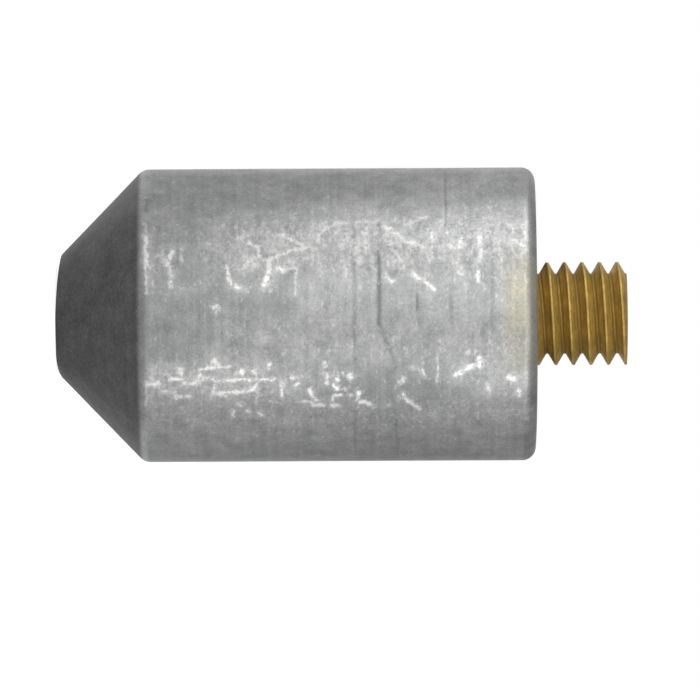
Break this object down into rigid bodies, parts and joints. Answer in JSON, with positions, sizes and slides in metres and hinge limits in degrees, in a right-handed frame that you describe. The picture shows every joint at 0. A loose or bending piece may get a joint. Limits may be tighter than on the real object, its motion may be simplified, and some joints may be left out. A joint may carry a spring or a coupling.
{
  "type": "sacrificial anode",
  "caption": "Pencil zinc anode with a conical nose, cast round a threaded brass stud that screws it into a plug or an engine casing.",
  "frame": {"origin": "centre of the zinc body's rear face, on the stud's axis", "axes": "+Z along the anode from its nose to its stud; the anode stands on its nose tip, 43.4 mm below the origin; the thread's first crest is on the +X side"},
  "size_m": [0.0266, 0.0266, 0.0517],
  "materials": {
    "cast_zinc": "matte",
    "stud_brass": "satin"
  },
  "bodies": {
    "root": {"zinc_body": "cast_zinc", "brass_stud": "stud_brass"}
  },
  "joints": []
}
